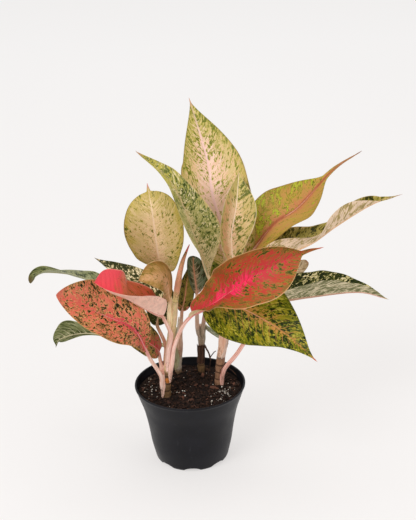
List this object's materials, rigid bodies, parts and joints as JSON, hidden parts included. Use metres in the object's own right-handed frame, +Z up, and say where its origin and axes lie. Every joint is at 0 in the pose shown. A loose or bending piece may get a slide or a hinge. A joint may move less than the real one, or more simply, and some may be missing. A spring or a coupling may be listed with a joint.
{
  "type": "potted chinese evergreen",
  "caption": "Leafy house plant with broad, flecked green, cream and red leaves on slim stalks, rooted in a round tapered nursery pot filled with soil; stands on its foot.",
  "frame": {"origin": "centre of the pot's foot, on the surface that the pot stands on", "axes": "+Z up the plant, -Y toward the picture's viewer, +X to the viewer's right"},
  "size_m": [0.4287, 0.2136, 0.4062],
  "materials": {
    "pot_plastic": "thin black nursery-pot plastic, satin",
    "potting_soil": "damp dark peat with bark chips and white flecks",
    "stem": "ringed tan cane at the foot, smooth pink to pale green sheaths above",
    "leaf_cream_pink": "waxy leaf, pinkish cream with green flecks",
    "leaf_green_cream": "waxy leaf, grey-green mottled over cream",
    "leaf_khaki": "waxy leaf, khaki with small dark flecks",
    "leaf_olive": "waxy leaf, ochre-olive with bright green flecks",
    "leaf_coral": "waxy leaf, coral with dark green flecks",
    "leaf_red": "waxy leaf, red with hot-pink veins and olive margins",
    "leaf_bright_green": "waxy leaf, mottled bright and dark green with orange veins",
    "leaf_dark_green": "waxy leaf, dark green with cream flecks",
    "leaf_grey_green": "waxy leaf, plain grey-green",
    "dry_sheath": "dried papery brown leaf base"
  },
  "bodies": {
    "root": {"pot": "pot_plastic", "soil": "potting_soil", "stem_front_left": "stem", "stem_back_left": "stem", "stem_back": "stem", "stem_right": "stem", "leaf_top": "leaf_cream_pink", "leaf_top_inner": "leaf_cream_pink", "leaf_upper_left": "leaf_green_cream", "leaf_oval": "leaf_khaki", "leaf_arching": "leaf_olive", "leaf_folded_pink": "leaf_coral", "leaf_salmon": "leaf_coral", "leaf_far_left": "leaf_grey_green", "leaf_dark_left": "leaf_dark_green", "leaf_low_left": "leaf_grey_green", "leaf_low_hidden": "leaf_olive", "leaf_dark_middle": "leaf_dark_green", "leaf_olive_middle": "leaf_olive", "leaf_red": "leaf_red", "leaf_front_green": "leaf_bright_green", "leaf_upper_right": "leaf_olive", "leaf_right_wavy": "leaf_green_cream", "leaf_right_dark": "leaf_dark_green", "leaf_small_curled": "dry_sheath", "leaf_green_inner": "leaf_bright_green", "leaf_back_narrow": "leaf_grey_green", "leaf_new_rolled": "leaf_coral", "dried_sheath": "dry_sheath"}
  },
  "joints": []
}
